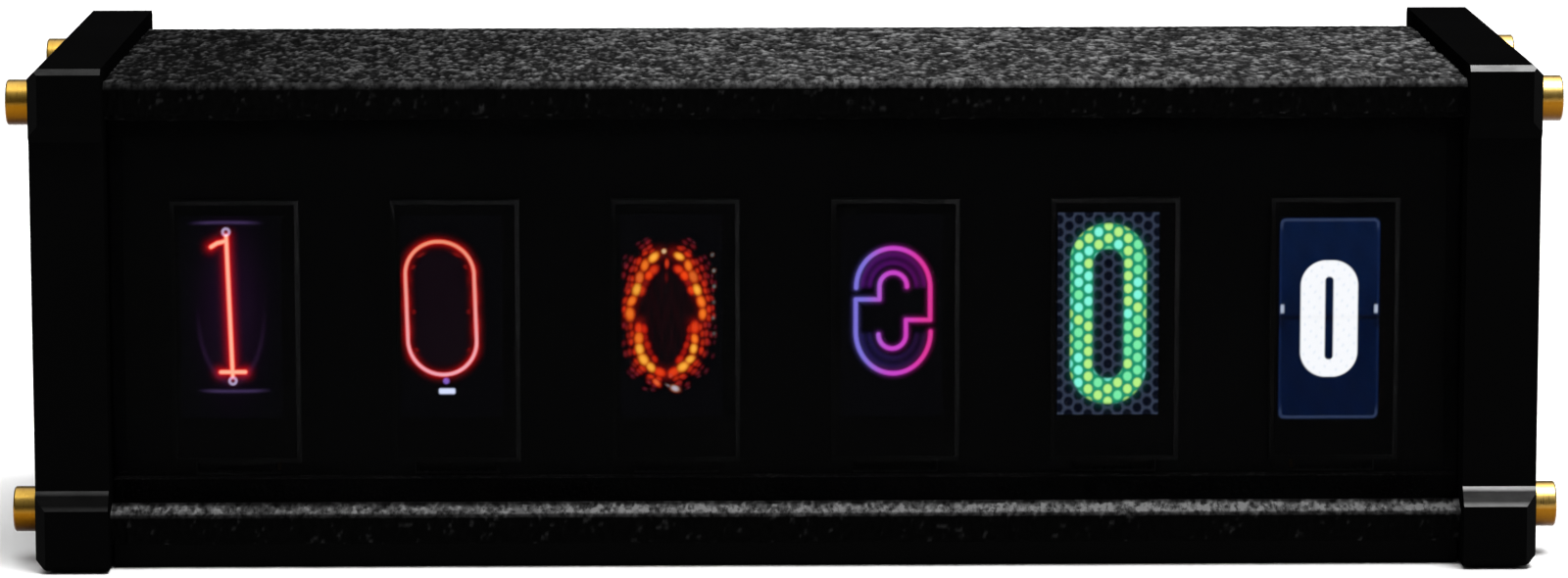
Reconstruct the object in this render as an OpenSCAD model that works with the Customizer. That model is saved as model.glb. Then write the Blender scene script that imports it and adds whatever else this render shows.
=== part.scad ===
// Six-digit display clock in an extruded aluminium case.
// Two matching shells close on a smoked front window and a rear panel, and two end
// caps with brass screws hold the stack together. Six colour display modules stand
// behind the window on an upright board, and a second board lies on the floor.
// Millimetres. X runs along the case, -Y is the front, +Z is up. The origin is at
// the middle of the footprint, on the surface that the clock stands on.

/* [Case] */
// Length of the extruded shells, between the end caps
body_w = 142; // [126:1:170]
// Depth of the shells, front to back
body_d = 53.6; // [48:0.2:64]
// Height over both shells
body_h = 48.8; // [43.6:0.2:56]
// Thickness of the roof and of the floor
wall = 2; // [1.8:0.1:2.4]
// Height of each lip's plain front face
lip_face = 3.1; // [2.8:0.1:3.4]
// Rise of the slope that leads from the face to the panel
lip_rise = 1; // [0.8:0.1:1.2]
// Thickness of the lip in front of a panel
lip_t = 2.4; // [2:0.1:2.8]
// Small bevel along the outer edges of the shells
shell_edge = 0.4; // [0.2:0.1:0.6]

/* [Panels] */
// Thickness of the front window and of the rear panel
panel_t = 2; // [1.5:0.1:2.4]
// Depth to which a panel's edge stands in its groove
panel_grip = 1.5; // [1:0.1:1.6]
// Gap on each side of a panel or a board in its groove
groove_gap = 0.1; // [0.05:0.05:0.2]
// Gap between a panel's end and the end cap
end_gap = 0.3; // [0.2:0.1:0.6]

/* [End caps] */
// Thickness of an end cap
cap_t = 7.7; // [6:0.1:9]
// How far the caps stand in front of the shells
front_reveal = 2.7; // [2:0.1:4]
// How far the caps stand behind the shells
rear_reveal = 3.7; // [2:0.1:5]
// How far the caps stand above the shells
top_reveal = 1.8; // [1:0.1:2.5]
// Height of a cap's upper block, on its front face
block_top = 5.9; // [5:0.1:7]
// Height of a cap's lower block, on its front face
block_bottom = 6.4; // [5:0.1:8]
// Depth to which the waist between the blocks is set back
waist_in = 1.6; // [0.8:0.1:1.6]
// Height of the slope between a block and the waist
waist_rise = 1.9; // [1:0.1:2]
// Bevel along a cap's long edges
cap_edge = 0.6; // [0.4:0.1:1]
// Bevel round a cap's outer face
cap_bevel = 1.1; // [0.4:0.1:1.2]

/* [Feet] */
// Height of the clear space under the shells
foot_h = 2.6; // [2:0.1:4]
// Width of a rubber foot strip
foot_w = 7; // [5:0.5:8]
// Depth of the strip's seat in the floor
foot_seat = 0.6; // [0.4:0.1:0.8]
// Distance from the shell's face to the strip
foot_in = 1; // [0.6:0.1:2]
// Gap between the end caps and the table
cap_clear = 0.3; // [0.2:0.1:1]

/* [Case screws] */
// Radius of the screw's shank
screw_r = 1.5; // [1.25:0.05:1.6]
// Radius of the clearance hole in a cap
cap_hole_r = 1.7; // [1.65:0.05:1.9]
// Depth to which the thread bites into its port
thread_bite = 0.12; // [0.08:0.01:0.2]
// Radius of the brass head
head_r = 2.4; // [2.2:0.1:2.8]
// Height of the brass head
head_h = 3; // [2:0.1:4]
// Width across the flats of the head's socket
socket_af = 2.5; // [2:0.1:2.6]
// Depth of the head's socket
socket_depth = 1.8; // [1:0.1:1.8]
// Length of the shank
screw_len = 16; // [12:1:20]
// Height of a screw port above the shell's outer face
port_up = 2.7; // [2.6:0.05:3]
// Wall between the panel's groove and the port
port_wall = 0.8; // [0.6:0.1:1.2]
// Wall between the port and the board's slot
port_web = 0.5; // [0.4:0.1:0.8]

/* [Displays] */
// Space at each end of the case beyond the displays' even spacing
lcd_side = 1.4; // [0:0.2:6]
// Width of a display module
lcd_w = 13.5; // [12:0.5:15]
// Height of a display module
lcd_h = 27.95; // [26:0.05:28.5]
// Thickness of a display module
lcd_t = 1.5; // [1.4:0.1:1.8]
// Share of the spare height between the rails that lies under the modules
lcd_share = 0.02; // [0:0.01:0.5]
// Width of a module's frame round its glass
lcd_rim = 0.45; // [0.3:0.05:0.6]
// Thickness of a module's glass
glass_t = 0.8; // [0.6:0.1:1]
// Gap between the window and the modules
lcd_gap = 1; // [0.6:0.1:2]
// Width of a module's ribbon
ribbon_w = 8; // [6:0.5:10]
// Thickness of a module's ribbon
ribbon_t = 0.2; // [0.15:0.05:0.25]

/* [Boards] */
// Thickness of both circuit boards
board_t = 1.6; // [1.2:0.1:1.8]
// Height to which the upright board stands in its slots
board_grip = 1.5; // [1:0.1:1.8]
// Space between each end of the main board and the end cap
main_side = 11; // [8:0.5:13]
// Height of the main board's standoffs
standoff_h = 5; // [4.8:0.1:7]
// Radius of a standoff
standoff_r = 2.25; // [2:0.05:2.6]
// Radius of a standoff's spigot in the floor
spigot_r = 1.4; // [1.2:0.1:1.6]
// Radius of the small board screws
board_screw_r = 1; // [0.8:0.05:1.1]
// Gap between the main board and the rear panel
main_gap = 0.4; // [0.2:0.1:1]

/* [Rear controls] */
// Distance from one button to the next
button_pitch = 12; // [11:0.5:14]
// Distance from the main board's end to the middle button
button_in = 28; // [24:1:32]
// Radius of a button's cap
button_r = 3; // [2.6:0.1:3.2]
// Gap between a button and its hole in the panel
button_gap = 0.15; // [0.1:0.05:0.3]
// How far a button stands out of the rear panel
button_out = 1.3; // [0.8:0.1:2]
// Travel of a button
button_travel = 0.3; // [0.2:0.05:0.4]
// Height of a button's axis above the main board
button_up = 4.4; // [4.2:0.1:5]
// Radius of a switch's plunger
plunger_r = 1.7; // [1.4:0.1:1.8]
// Distance from the main board's end to the middle of the power socket
usb_in = 20; // [14:1:24]
// Width of the power socket
usb_w = 8.94; // [8.9:0.02:9.2]
// Height of the power socket
usb_h = 3.26; // [3.1:0.02:3.4]
// Length of the power socket
usb_len = 7.35; // [6.8:0.05:8]
// Gap round the power socket in the rear panel
usb_gap = 0.3; // [0.2:0.1:0.5]

/* [Hidden] */
$fn = 48;
eps = 0.05;
lcd_count = 6;
button_count = 3;

body_z0 = foot_h;
body_z1 = body_z0 + body_h;
body_mid = body_z0 + body_h / 2;
foot_edge = 0.4;
head_rim = 0.15;
cap_z0 = cap_clear;
cap_z1 = body_z1 + top_reveal;
cap_d = front_reveal + body_d + rear_reveal;
cap_y0 = -cap_d / 2;
cap_y1 = cap_d / 2;
body_y0 = cap_y0 + front_reveal;
body_y1 = body_y0 + body_d;

lip_top = lip_face + lip_rise;
groove_u0 = lip_t;
groove_u1 = groove_u0 + panel_t + 2 * groove_gap;
groove_v = lip_top - panel_grip - groove_gap;
port_r = screw_r - thread_bite;
port_in = groove_u1 + port_wall + port_r;
slot_v = port_up + port_r + port_web;
rail_h = slot_v + groove_gap + board_grip;

window_y = body_y0 + groove_u0 + groove_gap;
window_z0 = body_z0 + lip_top - panel_grip;
window_z1 = body_z1 - lip_top + panel_grip;
lcd_y = window_y + panel_t + lcd_gap;
board_y = lcd_y + lcd_t;
board_back = board_y + board_t;
slot_u0 = board_y - groove_gap - body_y0;
slot_u1 = board_back + groove_gap - body_y0;
rail_web = 1;
rail_end = slot_u1 + rail_web;
rear_in = body_y1 - groove_u0 - groove_gap - panel_t;
rear_out = rear_in + panel_t;

glass_gap = 0.03;
ribbon_drop = 0.2;
ribbon_gap = 0.3;
ribbon_tail = 5;
ribbon_y0 = board_y - ribbon_t - ribbon_gap;
ribbon_y1 = board_back + ribbon_t;
ribbon_bend = (ribbon_y1 - ribbon_y0) / 2;
ribbon_room = ribbon_drop + ribbon_bend + groove_gap;
spare_h = body_h - 2 * rail_h - ribbon_room - lcd_h;
lcd_pitch = (body_w - 2 * lcd_side) / lcd_count;
lcd_z0 = body_z0 + rail_h + ribbon_room + lcd_share * spare_h;
lcd_z1 = lcd_z0 + lcd_h;
ribbon_z = lcd_z0 - ribbon_drop;
slot_edge = 0.15;
slot_side = 0.5;
slot_z0 = ribbon_z - ribbon_bend - slot_edge;
slot_z1 = ribbon_z + slot_edge;

floor_z = body_z0 + wall;
main_z0 = floor_z + standoff_h;
main_z1 = main_z0 + board_t;
header_len = 8.5;
header_row = 2.54;
header_cols = 4;
header_slack = 0.2;
header_w = header_cols * header_row + header_slack;
pin_len = 6;
pin_half = 0.32;
pin_hole = 0.45;
pin_depth = 2;
main_w = body_w - 2 * main_side;
main_y0 = board_back + header_len + ribbon_gap;
main_y1 = rear_in - main_gap;
main_d = main_y1 - main_y0;
standoff_end = 5;
standoff_front = 4.5;
standoff_rear = 8;
standoff_x = main_w / 2 - standoff_end;
standoff_y0 = main_y0 + standoff_front;
standoff_y1 = main_y1 - standoff_rear;
spigot_len = 1;
spigot_room = 0.2;
tap_floor = 1;
board_hole_gap = 0.15;
screw_head_r = 1.9;
screw_head_t = 1.2;
screw_reach = 3;
recess_w = 0.5;
recess_t = 0.6;

switch_w = 6;
switch_d = 3.6;
switch_rise = 3;
switch_bore = 2.4;
switch_gap = 2.6;
switch_back = rear_in - switch_gap;
switch_y0 = switch_back - switch_d;
switch_z = main_z1 + button_up;
plunger_gap = 0.05;
plunger_end = 0.15;
flange_rim = 0.8;
flange_r = button_r + flange_rim;
flange_t = 1.2;
flange_gap = 0.4;
flange_y = rear_in - flange_gap - flange_t;
crown = 0.4;
button_x = button_in - main_w / 2;
button_end = rear_out + button_out;

usb_x = main_w / 2 - usb_in;
usb_z = main_z1 + usb_h / 2;
usb_sink = 0.6;
usb_wall = 0.3;
usb_back = 0.6;
tongue_w = 6.7;
tongue_t = 0.7;
tongue_in = 1;
usb_y1 = rear_out - usb_sink;
usb_y0 = usb_y1 - usb_len;

wifi_x = -0.37 * main_w / 2;
wifi_w = 16;
wifi_edge = 1.6;
wifi_t = 0.8;
wifi_y0 = main_y0 + wifi_edge;
wifi_d = switch_y0 - 2 * wifi_edge - wifi_y0;
shield_side = 1.5;
shield_share = 0.7;
shield_h = 2.2;

cell_x = 0.3 * main_w / 2;
cell_y = main_y0 + 0.45 * main_d;
cell_r = 6.25;
cell_t = 2;
cell_step = 0.5;
holder_wall = 1.4;
holder_h = 3.4;
holder_floor = 0.8;
holder_gap = 0.1;
notch_w = 6;
notch_z = 1.8;

buzzer_x = -0.77 * main_w / 2;
buzzer_y = main_y0 + 0.415 * main_d;
buzzer_r = 4.5;
buzzer_h = 5.5;
buzzer_hole = 0.9;
buzzer_depth = 2.5;

chip_y = main_y0 + 0.38 * main_d;
cpu_w = 7;
cpu_h = 1;
memory_w = 5;
memory_d = 6.2;
memory_h = 1.6;
converter_w = 5;
converter_d = 4;
small_w = 1.2;
small_d = 2;
small_h = 0.9;
small_pitch = 3;
small_gap = 0.75;
driver_w = 4;
driver_h = 5;
driver_t = 1.5;
driver_side = 0.8;
driver_z = body_mid + 5.5;

black = "#17171a";
satin_black = "#1d1d20";
smoke = "#0a0a0c";
rubber = "#101010";
brass = "#c79a3a";
board_black = "#161719";
plastic = "#1a1a1a";
tin = "#b9bcc0";
steel = "#a7aab0";

function lcd_x(i) = (i - (lcd_count + 1) / 2) * lcd_pitch;
function switch_x(i) = button_x + (i - (button_count + 1) / 2) * button_pitch;

// Extrudes a profile drawn in (Y, Z) along X, from x0.
module along_x(x0, len) {
    translate([x0, 0, 0]) rotate([90, 0, 90]) linear_extrude(len) children();
}

// A round bar or hole along X.
module rod_x(x0, len, y, z, r) {
    translate([x0, y, z]) rotate([0, 90, 0]) cylinder(h = len, r = r);
}

// A round bar or hole along Y.
module rod_y(y0, len, x, z, r) {
    translate([x, y0, z]) rotate([-90, 0, 0]) cylinder(h = len, r = r);
}

// A block from its low corner to its high corner.
module block(lo, hi) {
    translate(lo) cube(hi - lo);
}

// The whole shell profile in (u, v): u inwards from the front face, v inwards from the outer side.
// Each of the two rails has a board slot, a solid port wall, a panel groove and a lip.
module shell_2d() {
    half = [
        [rail_end, wall], [rail_end, rail_h], [slot_u1, rail_h],
        [slot_u1, slot_v], [slot_u0, slot_v], [slot_u0, rail_h],
        [groove_u1, rail_h], [groove_u1, groove_v], [groove_u0, groove_v],
        [groove_u0, lip_top], [0, lip_face], [0, shell_edge], [shell_edge, 0]
    ];
    other = [for (i = [len(half) - 1 : -1 : 0]) [body_d - half[i][0], half[i][1]]];
    difference() {
        polygon(concat(half, other));
        for (u = [port_in, body_d - port_in]) translate([u, port_up]) circle(r = port_r);
    }
}

// Seat of one foot strip, in the shell profile's own frame.
module foot_seat_2d() {
    translate([foot_in - groove_gap, -eps]) square([foot_w + 2 * groove_gap, foot_seat + eps]);
}

module bottom_shell() {
    color(black)
    difference() {
        along_x(-body_w / 2, body_w)
            translate([body_y0, body_z0])
                difference() {
                    shell_2d();
                    foot_seat_2d();
                    translate([body_d, 0]) mirror([1, 0]) foot_seat_2d();
                }
        for (x = [-standoff_x, standoff_x], y = [standoff_y0, standoff_y1])
            translate([x, y, floor_z - spigot_len - spigot_room]) cylinder(h = wall, r = spigot_r);
    }
}

module top_shell() {
    color(black)
    along_x(-body_w / 2, body_w)
        translate([body_y0, body_z1]) mirror([0, 1]) shell_2d();
}

// Side outline of an end cap, in (Y, Z) about its own middle.
module cap_2d() {
    hy = cap_d / 2;
    hz = (cap_z1 - cap_z0) / 2;
    low = -hz + block_bottom;
    high = hz - block_top;
    half = [
        [hy - cap_edge, -hz], [hy, -hz + cap_edge], [hy, low],
        [hy - waist_in, low + waist_rise], [hy - waist_in, high - waist_rise],
        [hy, high], [hy, hz - cap_edge], [hy - cap_edge, hz]
    ];
    other = [for (i = [len(half) - 1 : -1 : 0]) [-half[i][0], half[i][1]]];
    polygon(concat(half, other));
}

// A section of an end cap from its inner face, with its two outer corners bevelled.
module bevelled_2d(width) {
    polygon([
        [0, -width / 2], [cap_t - cap_bevel, -width / 2], [cap_t, cap_bevel - width / 2],
        [cap_t, width / 2 - cap_bevel], [cap_t - cap_bevel, width / 2], [0, width / 2]
    ]);
}

// An end cap for the +X end: plate, bevelled rim and four clearance holes.
module end_cap() {
    height = cap_z1 - cap_z0;
    difference() {
        translate([body_w / 2, 0, (cap_z0 + cap_z1) / 2])
            intersection() {
                along_x(0, cap_t) cap_2d();
                translate([0, 0, -height / 2]) linear_extrude(height) bevelled_2d(cap_d);
                translate([0, cap_d / 2, 0]) rotate([90, 0, 0]) linear_extrude(cap_d) bevelled_2d(height);
            }
        screw_places() rod_x(body_w / 2 - eps, cap_t + 2 * eps, 0, 0, cap_hole_r);
    }
}

module right_cap() {
    color(satin_black) end_cap();
}

module left_cap() {
    color(satin_black) mirror([1, 0, 0]) end_cap();
}

// The four screw axes of one end.
module screw_places() {
    for (y = [body_y0 + port_in, body_y1 - port_in], z = [body_z0 + port_up, body_z1 - port_up])
        translate([0, y, z]) children();
}

// Brass cap screw whose head seats on the +X cap's outer face.
module case_screw() {
    seat = body_w / 2 + cap_t;
    difference() {
        union() {
            rod_x(seat - screw_len, screw_len + eps, 0, 0, screw_r);
            rod_x(seat, head_h - head_rim, 0, 0, head_r);
            translate([seat + head_h - head_rim, 0, 0]) rotate([0, 90, 0])
                cylinder(h = head_rim, r1 = head_r, r2 = head_r - head_rim);
        }
        translate([seat + head_h - socket_depth, 0, 0]) rotate([0, 90, 0])
            cylinder(h = socket_depth + eps, r = socket_af / sqrt(3), $fn = 6);
    }
}

module right_screws() {
    color(brass) screw_places() case_screw();
}

module left_screws() {
    color(brass) mirror([1, 0, 0]) screw_places() case_screw();
}

// A foot strip under the front rail; the rear one is its mirror image.
module foot_strip() {
    along_x(-body_w / 2 + end_gap, body_w - 2 * end_gap)
        translate([foot_in, 0])
            polygon([
                [foot_edge, 0], [foot_w - foot_edge, 0], [foot_w, foot_edge],
                [foot_w, foot_h + foot_seat], [0, foot_h + foot_seat], [0, foot_edge]
            ]);
}

module front_foot() {
    color(rubber) translate([0, body_y0, 0]) foot_strip();
}

module rear_foot() {
    color(rubber) translate([0, body_y1, 0]) mirror([0, 1, 0]) foot_strip();
}

module front_window() {
    half = body_w / 2 - end_gap;
    color(smoke, 0.6)
    block([-half, window_y, window_z0], [half, window_y + panel_t, window_z1]);
}

// Outline of the power socket in (X, Z), grown by g all round.
module usb_2d(g) {
    r = usb_h / 2 + g;
    translate([usb_x, usb_z]) {
        square([usb_w - usb_h, 2 * r], center = true);
        for (s = [-1, 1]) translate([s * (usb_w - usb_h) / 2, 0]) circle(r = r);
    }
}

// Extrudes a profile drawn in (X, Z) along Y, from y0.
module along_y(y0, len) {
    translate([0, y0 + len, 0]) rotate([90, 0, 0]) linear_extrude(len) children();
}

module rear_panel() {
    half = body_w / 2 - end_gap;
    color(satin_black)
    difference() {
        block([-half, rear_in, window_z0], [half, rear_out, window_z1]);
        for (i = [1 : button_count])
            rod_y(rear_in - eps, panel_t + 2 * eps, switch_x(i), switch_z, button_r + button_gap);
        along_y(rear_in - eps, panel_t + 2 * eps) usb_2d(usb_gap);
    }
}

// Shallow tray that holds one display's glass.
module lcd_frame(i) {
    x = lcd_x(i);
    color(plastic)
    difference() {
        block([x - lcd_w / 2, lcd_y, lcd_z0], [x + lcd_w / 2, board_y, lcd_z1]);
        block([x - lcd_w / 2 + lcd_rim, lcd_y - eps, lcd_z0 + lcd_rim],
              [x + lcd_w / 2 - lcd_rim, lcd_y + glass_t, lcd_z1 - lcd_rim]);
    }
}

module lcd_glass(i) {
    x = lcd_x(i);
    fit = lcd_rim + glass_gap;
    color("#050507")
    block([x - lcd_w / 2 + fit, lcd_y, lcd_z0 + fit], [x + lcd_w / 2 - fit, lcd_y + glass_t, lcd_z1 - fit]);
}

// Ribbon of one display: out of the module's foot, through the board's slot and up its back.
module lcd_ribbon(i) {
    mid = (ribbon_y0 + ribbon_y1) / 2;
    color("#8a5a1c")
    along_x(lcd_x(i) - ribbon_w / 2, ribbon_w) {
        difference() {
            translate([mid, ribbon_z]) circle(r = ribbon_bend);
            translate([mid, ribbon_z]) circle(r = ribbon_bend - ribbon_t);
            translate([ribbon_y0 - 1, ribbon_z]) square([2 * ribbon_bend + 2, 2 * ribbon_bend]);
        }
        translate([ribbon_y0, ribbon_z]) square([ribbon_t, lcd_z0 - ribbon_z]);
        translate([ribbon_y1 - ribbon_t, ribbon_z]) square([ribbon_t, ribbon_tail]);
    }
}

module display_board() {
    half = body_w / 2 - 4 * end_gap;
    grip = slot_v + groove_gap;
    color(board_black)
    difference() {
        block([-half, board_y, body_z0 + grip], [half, board_back, body_z1 - grip]);
        for (i = [1 : lcd_count])
            block([lcd_x(i) - ribbon_w / 2 - slot_side, board_y - eps, slot_z0],
                  [lcd_x(i) + ribbon_w / 2 + slot_side, board_back + eps, slot_z1]);
    }
}

// Shift registers and capacitors on the back of the upright board.
module display_chips() {
    color(plastic)
    for (i = [1 : lcd_count]) translate([lcd_x(i), board_back, driver_z]) {
        translate([-driver_w / 2, 0, -driver_h / 2]) cube([driver_w, driver_t, driver_h]);
        for (x = [-driver_w / 2 - driver_side - small_w, driver_w / 2 + driver_side])
            translate([x, 0, -driver_h / 2]) cube([small_w, small_h, small_d]);
    }
}

// Two-row socket on the back of the upright board, one hole for each pin.
module board_socket() {
    z = main_z1 + header_row;
    color(plastic)
    difference() {
        block([-header_w / 2, board_back, z - header_row],
              [header_w / 2, board_back + header_len, z + header_row]);
        header_pins(board_back + pin_depth, header_len, pin_hole);
    }
}

// Square bars on the header's grid, along Y.
module header_pins(y0, length, half) {
    z = main_z1 + header_row;
    for (c = [1 : header_cols], r = [-0.5, 0.5])
        translate([(c - (header_cols + 1) / 2) * header_row - half, y0, z + r * header_row - half])
            cube([2 * half, length, 2 * half]);
}

// Right-angle pin header at the front edge of the main board.
module board_header() {
    z = main_z1 + header_row;
    color("#b08d3c") header_pins(main_y0 - pin_len, pin_len + eps, pin_half);
    color(plastic)
    block([-header_w / 2, main_y0, z - header_row], [header_w / 2, main_y0 + header_row, z + header_row]);
}

module main_board() {
    color(board_black)
    difference() {
        block([-main_w / 2, main_y0, main_z0], [main_w / 2, main_y1, main_z1]);
        for (x = [-standoff_x, standoff_x], y = [standoff_y0, standoff_y1])
            translate([x, y, main_z0 - eps]) cylinder(h = board_t + 2 * eps, r = board_screw_r + board_hole_gap);
    }
}

// Processor, memory and converter packages, and a row of small parts before the power socket.
module main_chips() {
    color(plastic) {
        chip(0.625, cpu_w, cpu_w, cpu_h);
        chip(0.81, memory_w, memory_d, memory_h);
        chip(-0.09, converter_w, converter_d, memory_h);
        for (i = [-2 : 2])
            translate([usb_x + small_pitch * i, usb_y0 - small_gap, main_z1])
                translate([-small_w / 2, -small_d, 0]) cube([small_w, small_d, small_h]);
    }
}

// A package whose middle lies at a share of the main board's half length.
module chip(share, w, d, h) {
    translate([share * main_w / 2 - w / 2, chip_y - d / 2, main_z1]) cube([w, d, h]);
}

module standoffs() {
    color(brass)
    for (x = [-standoff_x, standoff_x], y = [standoff_y0, standoff_y1])
        translate([x, y, floor_z]) difference() {
            union() {
                cylinder(h = standoff_h, r = standoff_r);
                translate([0, 0, -spigot_len]) cylinder(h = spigot_len + eps, r = spigot_r);
            }
            translate([0, 0, tap_floor]) cylinder(h = standoff_h, r = board_screw_r);
        }
}

module board_screws() {
    shank = board_t + screw_reach;
    color(steel)
    for (x = [-standoff_x, standoff_x], y = [standoff_y0, standoff_y1])
        translate([x, y, main_z1]) difference() {
            union() {
                cylinder(h = screw_head_t, r = screw_head_r);
                translate([0, 0, -shank]) cylinder(h = shank + eps, r = board_screw_r);
            }
            for (a = [0, 90]) rotate(a) translate([-screw_head_t, -recess_w / 2, screw_head_t - recess_t])
                cube([2 * screw_head_t, recess_w, screw_head_t]);
        }
}

module wifi_board() {
    color("#101c2c")
    translate([wifi_x - wifi_w / 2, wifi_y0, main_z1]) cube([wifi_w, wifi_d, wifi_t]);
}

module wifi_shield() {
    d = shield_share * wifi_d;
    color(steel)
    translate([wifi_x - wifi_w / 2 + shield_side, wifi_y0 + wifi_d - d - shield_side, main_z1 + wifi_t])
        cube([wifi_w - 2 * shield_side, d, shield_h]);
}

// Round tray with a raised rim for the back-up cell.
module coin_holder() {
    r = cell_r + holder_wall;
    color(plastic)
    translate([cell_x, cell_y, main_z1]) difference() {
        cylinder(h = holder_h, r = r);
        translate([0, 0, holder_floor]) cylinder(h = holder_h, r = cell_r + holder_gap);
        translate([-notch_w / 2, -r - eps, notch_z]) cube([notch_w, 2 * holder_wall, holder_h]);
    }
}

module coin_cell() {
    color(tin)
    translate([cell_x, cell_y, main_z1 + holder_floor]) {
        cylinder(h = cell_t - cell_step, r = cell_r);
        translate([0, 0, cell_t - cell_step - eps]) cylinder(h = cell_step + eps, r = cell_r - 2 * cell_step);
    }
}

module buzzer() {
    color(plastic)
    translate([buzzer_x, buzzer_y, main_z1]) difference() {
        cylinder(h = buzzer_h, r = buzzer_r);
        translate([0, 0, buzzer_h - buzzer_depth]) cylinder(h = buzzer_h, r = buzzer_hole);
    }
}

// Metal-cased push switch; its bore guides the plunger.
module switch_body(i) {
    x = switch_x(i);
    color(steel)
    difference() {
        block([x - switch_w / 2, switch_y0, main_z1],
              [x + switch_w / 2, switch_back, switch_z + switch_rise]);
        rod_y(switch_back - switch_bore, switch_d, x, switch_z, plunger_r + plunger_gap);
    }
}

module switch_plunger(i) {
    start = switch_back - switch_bore + button_travel + plunger_end;
    color("#e8e2d2")
    rod_y(start, rear_in - start, switch_x(i), switch_z, plunger_r);
}

// Round key with a flange behind the panel and a crowned face.
module button_cap(i) {
    x = switch_x(i);
    color(plastic)
    difference() {
        union() {
            rod_y(flange_y, flange_t, x, switch_z, flange_r);
            rod_y(flange_y, button_end - crown - flange_y, x, switch_z, button_r);
            translate([x, button_end - crown, switch_z]) rotate([-90, 0, 0])
                cylinder(h = crown, r1 = button_r, r2 = button_r - crown);
        }
        rod_y(flange_y - eps, rear_in - flange_y + eps, x, switch_z, plunger_r);
    }
}

// Folded metal shell of the power socket, open to the rear.
module usb_shell() {
    color(tin)
    difference() {
        along_y(usb_y0, usb_len) usb_2d(0);
        along_y(usb_y0 + usb_back, usb_len) usb_2d(-usb_wall);
    }
}

module usb_tongue() {
    color(plastic)
    block([usb_x - tongue_w / 2, usb_y0 + usb_back, usb_z - tongue_t / 2],
          [usb_x + tongue_w / 2, usb_y1 - tongue_in, usb_z + tongue_t / 2]);
}

LCDS = [1 : lcd_count];
BUTTONS = [1 : button_count];

top_shell();
bottom_shell();
left_cap();
right_cap();
left_screws();
right_screws();
front_foot();
rear_foot();
front_window();
rear_panel();
display_board();
display_chips();
board_socket();
board_header();
main_board();
main_chips();
standoffs();
board_screws();
wifi_board();
wifi_shield();
coin_holder();
coin_cell();
buzzer();
usb_shell();
usb_tongue();
for (i = LCDS) {
    lcd_frame(i);
    lcd_glass(i);
    lcd_ribbon(i);
}
for (i = BUTTONS) {
    switch_body(i);
    switch_plunger(i);
    button_cap(i);
}
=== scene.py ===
"""Looks for a six-digit display clock.

A sand-coated black case has satin end caps, brass screws and a smoked window. Behind the window six small
colour displays each draw a numeral in a style of their own.

Everything is in metres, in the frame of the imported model. Sizes written in millimetres pass through MM.
"""

import math
import random

import bmesh
import bpy
import numpy as np
from mathutils import Matrix, Vector


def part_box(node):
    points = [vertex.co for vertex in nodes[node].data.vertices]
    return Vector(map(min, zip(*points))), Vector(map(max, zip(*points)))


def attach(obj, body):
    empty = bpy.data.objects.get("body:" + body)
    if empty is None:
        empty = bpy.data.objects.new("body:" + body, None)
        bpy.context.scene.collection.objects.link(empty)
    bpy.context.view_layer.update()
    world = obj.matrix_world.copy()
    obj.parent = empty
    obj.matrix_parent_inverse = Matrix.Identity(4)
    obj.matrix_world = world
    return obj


MM = 0.001
# A faintly cool tint.
COOL = (1.0, 1.0, 1.04)
# The parts of a place or a direction.
X, Y, Z = range(3)

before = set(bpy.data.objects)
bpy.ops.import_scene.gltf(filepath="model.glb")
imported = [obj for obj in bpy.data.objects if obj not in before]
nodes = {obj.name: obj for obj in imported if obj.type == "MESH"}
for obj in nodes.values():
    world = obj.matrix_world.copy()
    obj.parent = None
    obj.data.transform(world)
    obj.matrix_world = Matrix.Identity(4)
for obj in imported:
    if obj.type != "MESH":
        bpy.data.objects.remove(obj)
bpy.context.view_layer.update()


def placed(name, data):
    """A new object for a mesh, a lamp or a camera, in the scene."""
    made = bpy.data.objects.new(name, data)
    bpy.context.scene.collection.objects.link(made)
    return made


# ---------------------------------------------------------------- node helpers


def linear(r, g, b):
    """A colour written as 0 to 255 screen values, as linear light."""
    out = []
    for v in (r, g, b):
        v /= 255.0
        out.append(v / 12.92 if v <= 0.04045 else ((v + 0.055) / 1.055) ** 2.4)
    return tuple(out)


def grey(v, tint=(1.0, 1.0, 1.0)):
    """A grey of linear value v, tinted, as an opaque colour."""
    return (v * tint[0], v * tint[1], v * tint[2], 1.0)


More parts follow.
